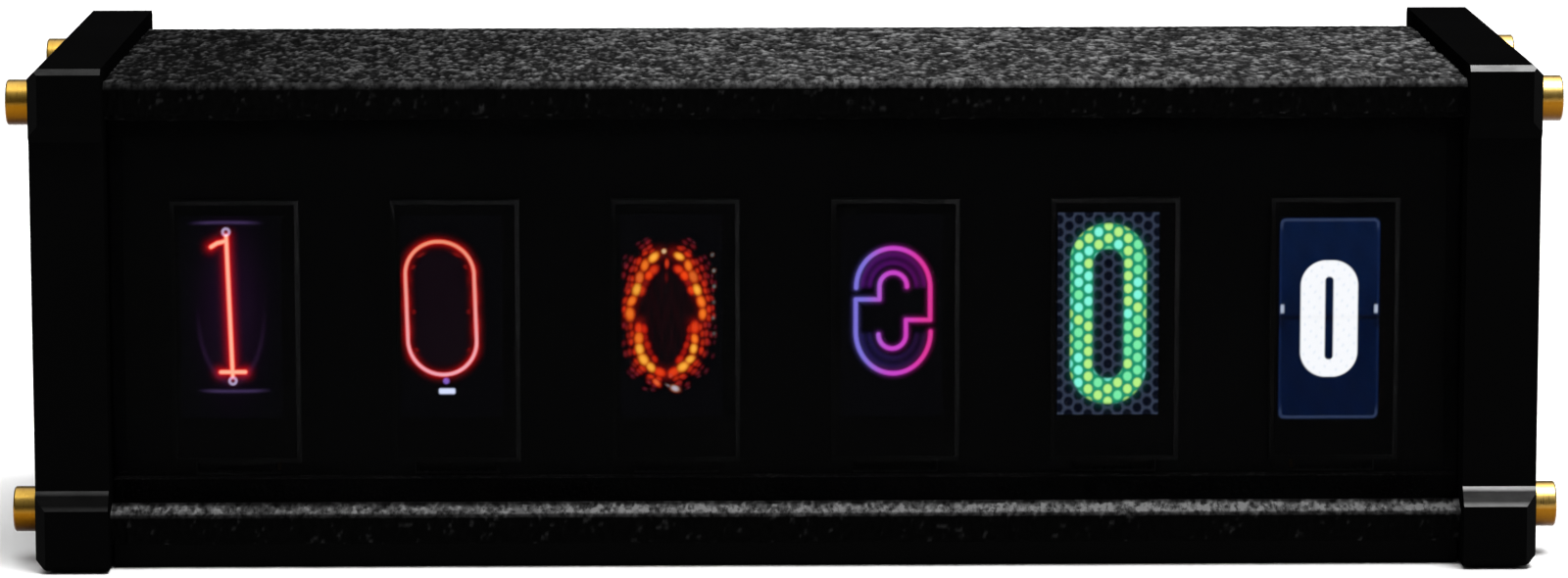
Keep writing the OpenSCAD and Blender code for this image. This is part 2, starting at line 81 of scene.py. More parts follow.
class Look:
    """One Principled material and short ways to feed its sockets."""

    def __init__(self, name, **constants):
        self.mat = bpy.data.materials.new(name)
        self.mat.use_nodes = True
        self.tree = self.mat.node_tree
        self.bsdf = self.tree.nodes["Principled BSDF"]
        self.where = self.add("ShaderNodeTexCoord").outputs["Object"]
        for key, value in constants.items():
            self.bsdf.inputs[key.replace("_", " ")].default_value = value

    def add(self, kind, inputs=(), **props):
        """A new node, with its properties set and its inputs fed by name."""
        n = self.tree.nodes.new(kind)
        for key, value in props.items():
            setattr(n, key, value)
        for key, value in dict(inputs).items():
            self.put(n.inputs[key], value)
        return n

    def put(self, socket, value):
        """Feed a socket from another, or set it to a constant."""
        if isinstance(value, bpy.types.NodeSocket):
            self.tree.links.new(value, socket)
        else:
            socket.default_value = value

    def feed(self, name, value):
        self.put(self.bsdf.inputs[name], value)

    def noise(self, scale, detail=2.0, rough=0.5, where=None):
        n = self.add(
            "ShaderNodeTexNoise",
            {"Vector": where or self.where, "Scale": scale, "Detail": detail, "Roughness": rough},
        )
        return n.outputs["Fac"]

    def cells(self, scale, feature="F1", where=None, jitter=1.0):
        n = self.add(
            "ShaderNodeTexVoronoi",
            {"Vector": where or self.where, "Scale": scale, "Randomness": jitter},
            feature=feature,
        )
        return n.outputs["Distance"]

    def stretched(self, x, y, z):
        """The surface's place with its three parts scaled, so that a pattern is drawn out or squeezed."""
        return self.add("ShaderNodeMapping", {"Vector": self.where, "Scale": (x, y, z)}).outputs["Vector"]

    def maths(self, op, a, b=0.0, c=0.0, clamp=False):
        n = self.add("ShaderNodeMath", operation=op, use_clamp=clamp)
        for socket, value in zip(n.inputs, (a, b, c)):
            self.put(socket, value)
        return n.outputs[0]

    def spread(self, value, low, high, to_low=0.0, to_high=1.0):
        """A value from low to high, as to_low to to_high. It stays within those two."""
        n = self.add(
            "ShaderNodeMapRange",
            {"Value": value, "From Min": low, "From Max": high, "To Min": to_low, "To Max": to_high},
        )
        return n.outputs["Result"]

    def vary(self, noise, low, high):
        """Low to high over a noise's usual range."""
        return self.spread(noise, 0.3, 0.7, low, high)

    def blend(self, fac, a, b):
        """Colour a to colour b, by a factor from 0 to 1."""
        n = self.add("ShaderNodeMix", data_type="RGBA")
        # Inputs 6 and 7 and output 2 are the node's sockets for colours.
        for socket, value in ((0, fac), (6, a), (7, b)):
            self.put(n.inputs[socket], value)
        return n.outputs[2]

    def bump(self, height, strength, depth_mm):
        """A direction bent by a height from 0 to 1, which stands for depth_mm."""
        inputs = {"Strength": strength, "Distance": depth_mm * MM, "Height": height}
        return self.add("ShaderNodeBump", inputs).outputs["Normal"]

    def facing(self, which):
        """One part of the surface's direction: X, Y or Z."""
        normal = self.add("ShaderNodeTexCoord").outputs["Normal"]
        return self.add("ShaderNodeSeparateXYZ", {"Vector": normal}).outputs[which]

    def axis(self, which):
        """One part of the surface's place: X, Y or Z."""
        return self.add("ShaderNodeSeparateXYZ", {"Vector": self.where}).outputs[which]


def wear(node_names, look):
    """Give each of the model's nodes one look all over."""
    for name in node_names:
        mesh = nodes[name].data
        mesh.materials.clear()
        mesh.materials.append(look.mat)
        for poly in mesh.polygons:
            poly.material_index = 0


# ---------------------------------------------------------------- materials


def sand_coat(name, crest_highlight=None):
    """Coarse black powder coat, with a painted highlight on its crumbs where they face up.

    With crest_highlight, a vertex attribute of that name says how strong the painted highlight is, and the
    mesh carries the relief.
    """
    k = Look(name, Specular_IOR_Level=0.005)
    mottle = k.noise(330, 3.0, 0.6)
    crumbs = k.noise(1900, 3.0, 0.62)
    if crest_highlight is None:
        beads = k.cells(1500, "SMOOTH_F1")
        height = k.maths("ADD", crumbs, k.maths("MULTIPLY", beads, -0.55))
        upward = k.spread(k.facing(Z), 0.42, 0.94, 0.025, 1.0)
        lit_tips = k.maths("MULTIPLY", upward, k.spread(crumbs, 0.50, 0.70))
        k.feed("Normal", k.bump(height, 0.8, 0.16))
    else:
        own = k.add("ShaderNodeAttribute", attribute_name=crest_highlight).outputs["Fac"]
        drawn = k.noise(1700, 3.0, 0.62, where=k.stretched(1.0, 0.36, 1.0))
        lit_tips = k.maths("MULTIPLY", own, k.spread(drawn, 0.36, 0.60, 0.18, 1.2))
        k.feed("Normal", k.bump(k.noise(5200, 2.0, 0.6), 0.35, 0.03))
    # A painted highlight: the crumbs' tips are made pale where they face up, as if lit from above.
    painted_highlight = k.maths("MULTIPLY", lit_tips, k.spread(mottle, 0.34, 0.62, 0.65, 1.0), clamp=True)
    k.feed("Base Color", k.blend(painted_highlight, grey(0.0007), grey(0.15, (1.0, 1.0, 1.01))))
    k.feed("Roughness", k.spread(crumbs, 0.35, 0.7, 0.75, 0.55))
    return k


# Where the painted highlight lies on the slope of a cap's lower block, near the waist and near the block's
# face: from one height to another, in metres, and how much at each of them.
WAIST_HIGHLIGHT = (0.0081, 0.0084, 0.08, 1.0)
BLOCK_HIGHLIGHT = (0.0072, 0.0069, 0.08, 0.4)
# The grey of the painted sheen on the end caps' outer and rear faces.
SHEEN_GREY = 0.013


def satin_coat(name, base, rough, specular, edge=0.0):
    """Smooth satin black. With an edge, slopes that face up get a painted highlight of that grey and a gloss
    coat, and the outer and rear faces of the ends get a painted sheen.
    """
    k = Look(name, Specular_IOR_Level=specular)
    slow = k.noise(55, 2.0, 0.5)
    fine = k.noise(5200, 2.0, 0.6)
    colour = k.blend(slow, grey(base * 0.85), grey(base * 1.2, COOL))
    shine = k.vary(slow, rough - 0.03, rough + 0.04)
    if edge:
        up = k.facing(Z)
        z = k.axis(Z)
        tilted = k.maths("MULTIPLY", k.spread(up, 0.35, 0.6), k.spread(up, 0.86, 0.97, 1.0, 0.0))
        high = k.maths("MAXIMUM", k.spread(z, *WAIST_HIGHLIGHT), k.spread(z, *BLOCK_HIGHLIGHT))
        highlight_streaks = k.spread(k.noise(900, 3.0, 0.65, where=k.stretched(0.4, 1.0, 1.0)), 0.35, 0.6, 0.7, 1.0)
        lit_from_right = k.spread(k.axis(X), -0.05, 0.05, 0.42, 1.0)
        highlight_by_height = k.maths("MULTIPLY", lit_from_right, k.spread(z, 0.02, 0.03, 1.0, 0.72))
        # A painted highlight on up-facing slopes near two lines: stronger on the right, where the light
        # falls, and lower down.
        slope_highlight = k.maths("MULTIPLY", k.maths("MULTIPLY", tilted, high), k.maths("MULTIPLY", highlight_streaks, highlight_by_height))
        outward = k.maths("MULTIPLY", k.facing(X), k.maths("SIGN", k.axis(X)))
        away = k.maths("MAXIMUM", k.spread(outward, 0.6, 0.98), k.spread(k.facing(Y), 0.6, 0.98))
        # A painted sheen on the faces that point outward or to the rear, made uneven by noise.
        dust_and_sheen = k.maths("MULTIPLY", away, k.vary(k.noise(160, 4.0, 0.62), 0.55, 1.0))
        colour = k.blend(dust_and_sheen, colour, grey(SHEEN_GREY))
        colour = k.blend(slope_highlight, colour, grey(edge))
        shine = k.maths("MULTIPLY_ADD", slope_highlight, -0.06, shine)
        k.feed("Coat Weight", k.maths("MULTIPLY", slope_highlight, 0.85))
        k.feed("Coat Roughness", 0.16)
    k.feed("Base Color", colour)
    k.feed("Roughness", shine)
    k.feed("Normal", k.bump(fine, 0.16, 0.02))
    return k


def brass_metal(name, bright, dull):
    """Brass with faint turning marks and stains, and painted shade: brown on its underside and a little on
    its crown.
    """
    k = Look(name, Metallic=1.0)
    # Painted shade: the underside, and a little of the crown, is made browner and darker.
    under = k.spread(k.facing(Z), 0.40, -0.08)
    rings = k.noise(900, 2.0, 0.55, where=k.stretched(14.0, 0.6, 0.6))
    stain = k.noise(420, 3.0, 0.6)
    brass_colour = k.blend(stain, bright, dull)
    downward = k.spread(k.facing(Z), -0.05, -0.85)
    underside_shade = k.blend(downward, (0.20, 0.078, 0.002, 1.0), (0.07, 0.022, 0.001, 1.0))
    shaded_crown = k.spread(k.facing(Z), 0.84, 0.97, 0.0, 0.65)
    brass_colour = k.blend(shaded_crown, brass_colour, (0.16, 0.09, 0.012, 1.0))
    k.feed("Base Color", k.blend(k.maths("MULTIPLY", under, 0.97), brass_colour, underside_shade))
    k.feed("Roughness", k.vary(rings, 0.26, 0.38))
    k.feed("Normal", k.bump(rings, 0.25, 0.02))
    return k


def rubber():
    """Matt black rubber, a little dusty."""
    k = Look("foot_rubber", Specular_IOR_Level=0.02)
    dust_and_sheen = k.noise(900, 4.0, 0.65)
    k.feed("Base Color", k.blend(dust_and_sheen, grey(0.001), grey(0.0022)))
    k.feed("Roughness", k.vary(dust_and_sheen, 0.78, 0.92))
    k.feed("Normal", k.bump(k.noise(2600, 2.0, 0.6), 0.35, 0.05))
    return k


def smoked_panel():
    """Tinted acrylic: near black by itself, it lets about half of what is behind it through at each face."""
    k = Look("smoked_panel", Alpha=0.45, Specular_IOR_Level=0.006)
    smear = k.noise(38, 4.0, 0.6, where=k.stretched(1.0, 1.0, 2.2))
    k.feed("Base Color", k.blend(smear, grey(0.0005), grey(0.0011, (1.0, 1.0, 1.15))))
    k.feed("Roughness", k.spread(smear, 0.3, 0.75, 0.035, 0.075))
    return k


def board_mask(name, base, tint):
    """Solder mask with faint tracks under it."""
    k = Look(name, Specular_IOR_Level=0.05)
    tracks = k.cells(420, "DISTANCE_TO_EDGE", where=k.stretched(1.0, 1.0, 0.25), jitter=0.35)
    line = k.spread(tracks, 0.03, 0.07, 1.0, 0.0)
    fine = k.noise(2400, 2.0, 0.5)
    under = k.blend(fine, grey(base * 0.8, tint), grey(base * 1.15, tint))
    k.feed("Base Color", k.blend(k.maths("MULTIPLY", line, 0.6), under, grey(base * 2.4, tint)))
    k.feed("Roughness", k.vary(fine, 0.26, 0.38))
    k.feed("Normal", k.bump(line, 0.12, 0.02))
    return k


def moulded(name, base, rough=0.55, tint=(1.0, 1.0, 1.0), relief=0.3, specular=0.4):
    """Moulded plastic with a fine spark-eroded grain."""
    k = Look(name, Specular_IOR_Level=specular)
    grain = k.noise(3800, 3.0, 0.62)
    slow = k.noise(140, 2.0, 0.5)
    k.feed("Base Color", k.blend(slow, grey(base * 0.88, tint), grey(base * 1.12, tint)))
    k.feed("Roughness", k.vary(grain, rough - 0.06, rough + 0.08))
    k.feed("Normal", k.bump(grain, relief, 0.03))
    return k


def plated(name, base, rough, tint=(1.0, 1.0, 1.02)):
    """Plated sheet with drawn streaks."""
    k = Look(name, Metallic=1.0)
    streaks = k.noise(700, 3.0, 0.6, where=k.stretched(9.0, 0.5, 3.0))
    k.feed("Base Color", k.blend(streaks, grey(base * 0.9, tint), grey(base * 1.08, tint)))
    k.feed("Roughness", k.vary(streaks, rough - 0.06, rough + 0.08))
    k.feed("Normal", k.bump(streaks, 0.15, 0.02))
    return k


def display_frame():
    """Moulded dark grey frames, with a painted highlight along the top and the right of each display that
    fades downwards.
    """
    k = Look("display_frame", Specular_IOR_Level=0.1)
    low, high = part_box("lcd_frame_1")
    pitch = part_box("lcd_frame_2")[0].x - low.x
    half = (high.x - low.x) / 2 / pitch
    # The place within each pitch is 0.5 at a display's middle. The 10 keeps it above zero at every display.
    start = 10.5 - (low.x + high.x) / 2 / pitch
    across = k.maths("FRACT", k.maths("MULTIPLY_ADD", k.axis(X), 1 / pitch, start))
    right = k.spread(across, 0.5, 0.5 + half)
    above = k.spread(k.axis(Z), high.z - 2.5 * MM, high.z, 0.0, 0.6)
    highlight_fade = k.spread(k.axis(Z), low.z, high.z, 0.3, 1.0)
    grain = k.noise(3800, 3.0, 0.62)
    # A painted highlight on the top and right borders, as the light falls from the top right.
    painted_highlight = k.maths("MULTIPLY", k.maths("MAXIMUM", right, above), highlight_fade)
    k.feed("Base Color", k.blend(painted_highlight, grey(0.009), grey(0.095, COOL)))
    k.feed("Roughness", k.vary(grain, 0.42, 0.56))
    k.feed("Normal", k.bump(grain, 0.3, 0.03))
    return k


def display_face():
    """Black polariser over an unlit panel."""
    k = Look("display_face", Specular_IOR_Level=0.04)
    haze = k.noise(90, 2.0, 0.5)
    k.feed("Base Color", k.blend(haze, grey(0.0012), grey(0.0024, (1.0, 1.0, 1.2))))
    k.feed("Roughness", k.vary(haze, 0.10, 0.16))
    return k


def black_film():
    """Flexible circuit: black cover film over tracks side by side."""
    k = Look("black_film", Specular_IOR_Level=0.06)
    across = k.add(
        "ShaderNodeTexWave",
        {"Vector": k.where, "Scale": 330.0, "Distortion": 0.0, "Detail": 0.0},
        bands_direction="X",
    ).outputs["Fac"]
    track = k.spread(across, 0.45, 0.6)
    film = k.blend(k.noise(500, 2.0, 0.5), grey(0.003), grey(0.005))
    k.feed("Base Color", k.blend(k.maths("MULTIPLY", track, 0.7), film, (0.010, 0.008, 0.005, 1.0)))
    k.feed("Roughness", k.spread(track, 0.0, 1.0, 0.34, 0.24))
    k.feed("Normal", k.bump(track, 0.3, 0.02))
    return k


def lit_pixels():
    """The displays' pixels: each vertex carries its own colour, which the material gives out as light."""
    k = Look("lit_pixels", Roughness=0.3, Specular_IOR_Level=0.04, Emission_Strength=3.35)
    own = k.add("ShaderNodeAttribute", attribute_name="pixel").outputs["Color"]
    k.feed("Base Color", k.blend(k.noise(90, 2.0, 0.5), grey(0.0015), grey(0.0028)))
    k.feed("Emission Color", own)
    return k


DISPLAYS = range(1, 7)
KEYS = range(1, 4)

wear(["top_shell", "bottom_shell"], sand_coat("sand_coat"))
# edge is the grey of the painted highlight on the caps' up-facing slopes.
wear(["left_cap", "right_cap"], satin_coat("cap_satin", 0.0014, 0.46, 0.0, edge=0.025))
# The left screws wear a darker copy of the brass as painted shade, the light falling from the right; the
# right screws and standoffs wear the lit copy.
wear(["left_screws"], brass_metal("brass_shaded", (0.50, 0.32, 0.065, 1.0), (0.24, 0.13, 0.016, 1.0)))
wear(
    ["right_screws", "standoffs"],
    brass_metal("brass_metal", (0.80, 0.57, 0.18, 1.0), (0.62, 0.38, 0.08, 1.0)),
)
wear(["front_foot", "rear_foot"], rubber())
wear(["front_window"], smoked_panel())
wear(["rear_panel"], satin_coat("panel_satin", 0.004, 0.44, 0.014))
wear(["display_board", "main_board"], board_mask("black_mask", 0.002, (1.0, 1.02, 1.08)))
wear(
    ["display_chips", "board_socket", "board_header", "main_chips", "coin_holder", "buzzer", "usb_tongue"],
    moulded("black_moulding", 0.018, 0.5),
)
wear(["wifi_board"], board_mask("blue_mask", 0.02, (0.6, 0.9, 2.2)))
wear(["board_screws", "wifi_shield", "coin_cell", "usb_shell"], plated("plated_sheet", 0.62, 0.26))
wear([f"switch_body_{i}" for i in KEYS], plated("switch_sheet", 0.58, 0.34))
wear([f"lcd_frame_{i}" for i in DISPLAYS], display_frame())
wear([f"lcd_glass_{i}" for i in DISPLAYS], display_face())
wear([f"lcd_ribbon_{i}" for i in DISPLAYS], black_film())
wear([f"switch_plunger_{i}" for i in KEYS], moulded("pale_moulding", 0.72, 0.5, (1.0, 0.95, 0.83)))
wear([f"button_cap_{i}" for i in KEYS], moulded("key_moulding", 0.012, 0.46, (1.0, 1.0, 1.03), 0.5, 0.15))


# ---------------------------------------------------------------- what the displays show

PIXELS = lit_pixels()
# The lit area, and how far it lies below a display's upper edge. Millimetres.
ACTIVE_W = 10.8
ACTIVE_H = 21.7
ACTIVE_TOP = 1.5
# Cells of the sheet that carries a picture.
COLUMNS = 100
ROWS = 200
# How far the sheet stands in front of the glass. Millimetres.
SHEET_LIFT = 0.04
# The light that an unlit pixel lets out.
UNLIT = linear(2, 2, 4)

# A picture is a function of places in millimetres from about the middle of the lit area, x to the right and z
# up. It returns linear light for every vertex of the sheet.


def cast(colour, share):
    """A colour in the measure that the array share gives, as an array of colours."""
    return np.asarray(colour) * share[..., None]


def mix(a, b, t):
    """Colours a to b by the array t, as an array of colours."""
    return cast(a, 1 - t) + cast(b, t)


def step(value, low, high):
    """0 at low and 1 at high, with a smooth rise between them. Low may be the larger."""
    t = np.clip((value - low) / (high - low), 0, 1)
    return t * t * (3 - 2 * t)


def to_path(x, z, points):
    """Distance from each (x, z) to a polyline."""
    best = np.full(x.shape, 1e9)
    points = [np.asarray(p, float) for p in points]
    for a, b in zip(points, points[1:]):
        length = np.linalg.norm(b - a)
        if length < 1e-9:
            continue
        run = (b - a) / length
        t = np.clip((x - a[0]) * run[0] + (z - a[1]) * run[1], 0, length)
        best = np.minimum(best, np.hypot(x - a[0] - t * run[0], z - a[1] - t * run[1]))
    return best


def arc(cx, cz, rx, rz, start, end, count=28):
    """Points on an ellipse's arc. Degrees, from +x towards +z."""
    out = []
    for i in range(count + 1):
        a = math.radians(start + (end - start) * i / count)
        out.append((cx + rx * math.cos(a), cz + rz * math.sin(a)))
    return out


def to_slot(x, z, half_w, half_h, radius):
    """Signed distance to a rounded rectangle about the middle."""
    qx = np.abs(x) - (half_w - radius)
    qz = np.abs(z) - (half_h - radius)
    return np.hypot(np.maximum(qx, 0), np.maximum(qz, 0)) + np.minimum(np.maximum(qx, qz), 0) - radius


def neon(distance, half_width, core, rim, halo, reach):
    """A glowing line: a pale core, a saturated rim and a halo that dies away over reach."""
    fade = np.exp(-np.maximum(distance - half_width, 0) / reach)
    glow = cast(halo, fade * step(distance, half_width + 5 * reach, half_width))
    colour = mix(core, rim, step(distance, half_width * 0.2, half_width))
    return mix(glow, colour, step(distance, half_width * 1.15, half_width * 0.8))


def wire_one(x, z):
    """A thin neon 1 with its two anchors, between the faint discs of a lamp, and a trace of its bulb."""
    cloud = np.exp(-((x / 3.1) ** 2 + (z / 8.2) ** 2) ** 1.3)
    light = cast(linear(20, 4, 24), cloud)
    for disc_z, shift in ((9.0, -0.45), (-9.0, 0.25)):
        bow = disc_z - 0.10 * np.sign(disc_z) * ((x - shift) / 4.0) ** 2
        disc = np.exp(-(((z - bow) / 0.17) ** 2)) * step(np.abs(x - shift), 4.2, 1.6)
        light += cast(linear(56, 42, 78), disc)
    stem = [(-0.40, 7.5), (0.08, -7.3)]
    flag = [(-2.0, 6.4), (-1.35, 6.8), (-0.5, 7.0)]
    foot = [(-1.15, -6.95), (1.4, -6.95)]
    distance = np.min([to_path(x, z, line) for line in (stem, flag, foot)], axis=0)
    core, rim, halo = linear(255, 182, 152), linear(238, 52, 30), linear(168, 8, 8)
    light += neon(distance, 0.30, core, rim, halo, reach=0.30)
    for anchor_x, anchor_z in ((-0.42, 7.98), (0.1, -7.9)):
        ring = np.abs(np.hypot(x - anchor_x, z - anchor_z) - 0.34)
        light += cast(linear(164, 154, 190), step(ring, 0.24, 0.03))
    bulb = (np.hypot(x / 3.5, (z + 0.4) / 7.6) - 1) / 0.06
    light += cast(linear(25, 12, 32), np.exp(-(bulb ** 2)) * step(z, 1.0, -5.0))
    return light


def outline_zero(x, z):
    """A neon outline 0, warm at the top and pink below, with wisps inside and a small mark at its foot."""
    wide = 3.62
    right = arc(0, 3.6, wide, 3.55, 90, 0)
    low = arc(0, -3.4, wide, 3.65, 0, -180)
    left = arc(0, 3.6, wide, 3.55, 180, 90)
    distance = to_path(x, z, right + low + left)
    down = np.clip((7 - z) / 14, 0, 1)
    wobble = 0.5 + 0.5 * np.sin(2.1 * z + 1.2 * np.sin(x))
    core = mix(linear(236, 146, 116), linear(244, 170, 182), down)
    rim = mix(linear(216, 62, 36), linear(212, 76, 84), down)
    tube = mix(rim, core, step(distance, 0.25, 0.05))
    fade = np.exp(-np.maximum(distance - 0.27, 0) / 0.22) * (0.6 + 0.5 * wobble)
    halo = cast(linear(150, 10, 10), fade * step(distance, 1.5, 0.3))
    light = mix(halo, tube, step(distance, 0.28, 0.19))
    light += cast(linear(12, 3, 8), step(to_slot(x, z, 3.4, 6.9, 3.3), 0.2, -1.6))
    curl = np.sin(2.7 * z + 1.9 * np.sin(1.3 * z)) * np.sin(1.1 * z - 0.8)
    wisp = np.exp(-(((distance - 0.62 - 0.18 * curl) / 0.17) ** 2)) * step(curl, 0.1, 0.7)
    within = step(to_slot(x, z, 3.6, 7.15, 3.6), 0.0, -0.3)
    light += cast(linear(112, 14, 10), wisp * within)
    dot = np.hypot(x - 0.25, z + 7.72)
    light += cast(linear(122, 92, 190), step(dot, 0.46, 0.16))
    dash = to_slot(x - 0.3, z + 8.82, 0.84, 0.28, 0.16)
    light += cast(linear(212, 222, 255), step(dash, 0.14, -0.12))
    return light


def ember_zero(x, z):
    """A 0 of glowing beads in a scatter of dim scales: a pointed arch above, a narrower bowl below."""
    rng = random.Random(11)
    light = np.zeros(x.shape + (3,))
    # Beads past these two would stand outside the lit area.
    left_edge, right_edge = -4.55, 5.15

    def bead(cx, cz, long, short, turn, colour, gain=1.0):
        """A soft oval spot of light. Its green and blue die away sooner than its red."""
        dx, dz = x - cx, z - cz
        c, s = math.cos(turn), math.sin(turn)
        u = (dx * c + dz * s) / long
        v = (-dx * s + dz * c) / short
        near = cast((1.0, 1.5, 1.8), u * u + v * v)
        np.maximum(light, gain * np.exp(-(near ** 1.55)) * np.asarray(colour), out=light)

    def chain(points, count, long, short, colours, low_gain=0.85, out=0.0, loose=0.06):
        """Beads along a polyline on both sides of the middle, out millimetres further from the middle."""
        points = [np.asarray(p, float) for p in points]
        lengths = [np.linalg.norm(b - a) for a, b in zip(points, points[1:])]
        for side in (-1, 1):
            for i in range(count):
                left = (i + 0.5) / count * sum(lengths)
                leg = 0
                while left > lengths[leg]:
                    left -= lengths[leg]
                    leg += 1
                run = (points[leg + 1] - points[leg]) / lengths[leg]
                at = points[leg] + run * left + np.array((-run[1], run[0])) * out
                turn = math.atan2(run[1], side * run[0]) + rng.uniform(-0.2, 0.2)
                grow = rng.uniform(0.86, 1.12)
                cx = side * at[0] + rng.uniform(-loose, loose)
                cz = at[1] + rng.uniform(-loose, loose)
                if left_edge < cx < right_edge:
                    gain = rng.uniform(low_gain, 1.0)
                    bead(cx, cz, long * grow, short * grow, turn, colours[i % len(colours)], gain)

    arch = [(0.75, 6.4), (2.15, 5.4), (2.9, 3.6), (3.3, 2.0), (3.85, 0.8), (3.85, -0.75)]
    bowl = [(2.95, -1.0), (3.0, -3.2), (2.6, -4.8), (1.5, -5.95), (0.2, -6.5)]
    near = np.minimum(to_path(np.abs(x), z, arch), to_path(np.abs(x), z, bowl))
    light += cast(linear(100, 10, 6), np.exp(-((near / 0.62) ** 2)))
    rings = (
        (2.1, 0.4, linear(74, 20, 36), 0.30),
        (1.6, 0.4, linear(112, 24, 36), 0.34),
        (1.1, 0.5, linear(156, 34, 26), 0.38),
        (0.7, 0.6, linear(196, 48, 18), 0.42),
    )
    for out, gain, tone, size in rings:
        chain(arch, 10, size, size * 0.62, [tone], gain, out, 0.16)
        chain(bowl, 8, size, size * 0.62, [tone], gain, out, 0.16)
    yellow, orange, flame = linear(255, 178, 62), linear(248, 124, 36), linear(226, 62, 20)
    inner_arch = [(1.0, 4.95), (1.75, 4.35), (2.35, 3.2), (2.75, 2.0)]
    inner_bowl = [(2.5, -1.3), (2.35, -2.8), (1.85, -4.1), (1.1, -5.3)]
    chain(inner_arch, 4, 0.56, 0.42, [flame, linear(236, 70, 18), linear(150, 22, 16)], 0.6)
    chain(inner_bowl, 5, 0.5, 0.34, [linear(206, 40, 16), linear(160, 20, 12)], 0.6)
    chain(arch, 6, 0.72, 0.46, [yellow, orange, linear(226, 104, 40), yellow, orange, orange], 0.82)
    chain(bowl, 6, 0.68, 0.46, [flame, orange, yellow, yellow, yellow, flame], 0.86)
    for i in range(6):
        cx = 4.95 + rng.uniform(-0.12, 0.12)
        bead(cx, 6.2 - 1.68 * i, 0.24, 0.26, 0.0, linear(112, 116, 122), rng.uniform(0.3, 0.8))
    sparks = (
        (-0.25, 6.6, 0.3, 0.3, 0.0, linear(214, 186, 150), 0.9),
        (0.05, 5.3, 0.24, 0.5, 0.0, linear(210, 66, 30), 0.8),
        (0.0, 3.8, 0.2, 0.5, 0.0, linear(90, 14, 12), 0.6),
        (0.4, -6.65, 0.3, 0.34, 0.0, linear(206, 72, 48), 0.8),
        (-1.1, -7.4, 0.55, 0.32, -0.8, linear(232, 96, 50), 0.9),
        (1.3, -7.4, 0.3, 0.3, 0.6, linear(150, 36, 30), 0.8),
        (0.85, -8.05, 0.55, 0.36, -0.4, linear(184, 176, 190), 0.95),
        (0.15, -7.75, 0.4, 0.16, -0.5, linear(110, 104, 116), 0.8),
    )
    for spark in sparks:
        bead(*spark)
    streak = 0.5 + 0.5 * np.sin(9.0 * x) * np.sin(1.3 * z + 2 * np.sin(3 * x))
    heart = step((x / 3.0) ** 2 + (z / 6.0) ** 2, 1.0, 0.3)
    light += cast(linear(30, 3, 6), heart * streak) * 0.7
    return light


def woven_zero(x, z):
    """Two hooked lines that lock into a 0, violet on the left and magenta on the right."""
    wide = 3.9
    upper = arc(0, 2.5, wide, 4.2, 180, 0) + [(wide, -0.95), (1.35, -0.95), (1.35, -2.4)]
    upper += arc(-0.1, -2.5, 1.45, 1.5, 0, -180)
    lower = arc(0, -2.2, 3.95, 4.45, 0, -180) + [(-3.95, 1.25), (-1.45, 1.25), (-1.45, 2.5)]
    lower += arc(0, 2.6, 1.45, 1.5, 180, 0)
    distance = np.minimum(to_path(x, z, upper), to_path(x, z, lower))
    across = np.clip((x + wide) / (2 * wide), 0, 1)
    line = mix(linear(112, 102, 202), linear(186, 56, 188), step(across, 0.05, 0.5))
    line = mix(line, linear(204, 38, 136), step(across, 0.5, 1.0))
    halo = np.exp(-np.maximum(distance - 0.28, 0) / 0.16) * step(distance, 1.1, 0.28)
    light = cast(line * 0.22, halo)
    ribbed_bands = (
        (np.hypot(x / wide, (z - 2.5) / 4.2), step(z, 2.2, 2.9), linear(62, 14, 92), linear(76, 8, 78)),
        (np.hypot(x / 3.95, (z + 2.2) / 4.45), step(z, -2.0, -2.7), linear(24, 20, 66), linear(34, 12, 44)),
    )
    for radius, beyond, left_tone, right_tone in ribbed_bands:
        band = step(radius, 0.5, 0.62) * step(radius, 0.98, 0.86) * beyond
        ribs = 0.72 + 0.28 * np.cos(radius * 30)
        light += cast(mix(left_tone, right_tone, across), band * ribs)
    line = mix(line, line * 1.12 + 0.02, step(distance, 0.22, 0.04))
    return mix(light, line, step(distance, 0.3, 0.18))


def honeycomb_zero(x, z):
    """Round cells in offset columns over a dark mesh. The cells of the 0 shine green, lime or cyan."""
    pitch_x, pitch_z, squash = 1.04, 1.34, 0.9
    best = np.full(x.shape, 1e9)
    cell_x, cell_z = np.zeros_like(x), np.zeros_like(z)
    for beside in (-1, 0, 1):
        column = np.round(x / pitch_x) + beside
        odd = np.mod(column, 2)
        row = np.round((z - odd * pitch_z / 2) / pitch_z)
        middle_x, middle_z = column * pitch_x, (row + odd / 2) * pitch_z
        distance = np.hypot(x - middle_x, (z - middle_z) * squash)
        nearer = distance < best
        best = np.where(nearer, distance, best)
        cell_x = np.where(nearer, middle_x, cell_x)
        cell_z = np.where(nearer, middle_z, cell_z)
    panel = step(np.maximum(np.abs(x) - ACTIVE_W / 2, np.abs(z) - ACTIVE_H / 2), 0.0, -0.06)
    web = step(best, 0.36, 0.58)
    light = cast(mix(linear(4, 7, 18), linear(46, 54, 72), web), panel)
    outer = to_slot(x, z, 4.02, 9.65, 3.95)
    hole = to_slot(x, z, 1.6, 6.9, 1.55)
    body = step(outer, 0.12, -0.12) * step(hole, -0.12, 0.12)
    # A number from 0 to 1 that differs from cell to cell as if by chance.
    chance = np.mod(np.sin(cell_x * 12.9898 + cell_z * 78.233) * 43758.5453, 1.0)[..., None]
    cyan, lime, green = linear(132, 248, 222), linear(184, 242, 134), linear(122, 236, 168)
    lamp = np.where(chance < 0.34, cyan, np.where(chance < 0.62, lime, green))
    digit = mix(linear(22, 142, 104), lamp, step(best, 0.58, 0.30))
    edge = step(np.minimum(-outer, hole), 0.30, 0.0)
    digit = cast(digit, 1 - 0.35 * edge)
    off = np.maximum(outer, -hole)
    spill = np.exp(-off.clip(0) / 0.35) * (1 - body) * step(off, 1.6, 0.1)
    return mix(light, digit, body) + cast(linear(8, 74, 60), spill * 0.6)


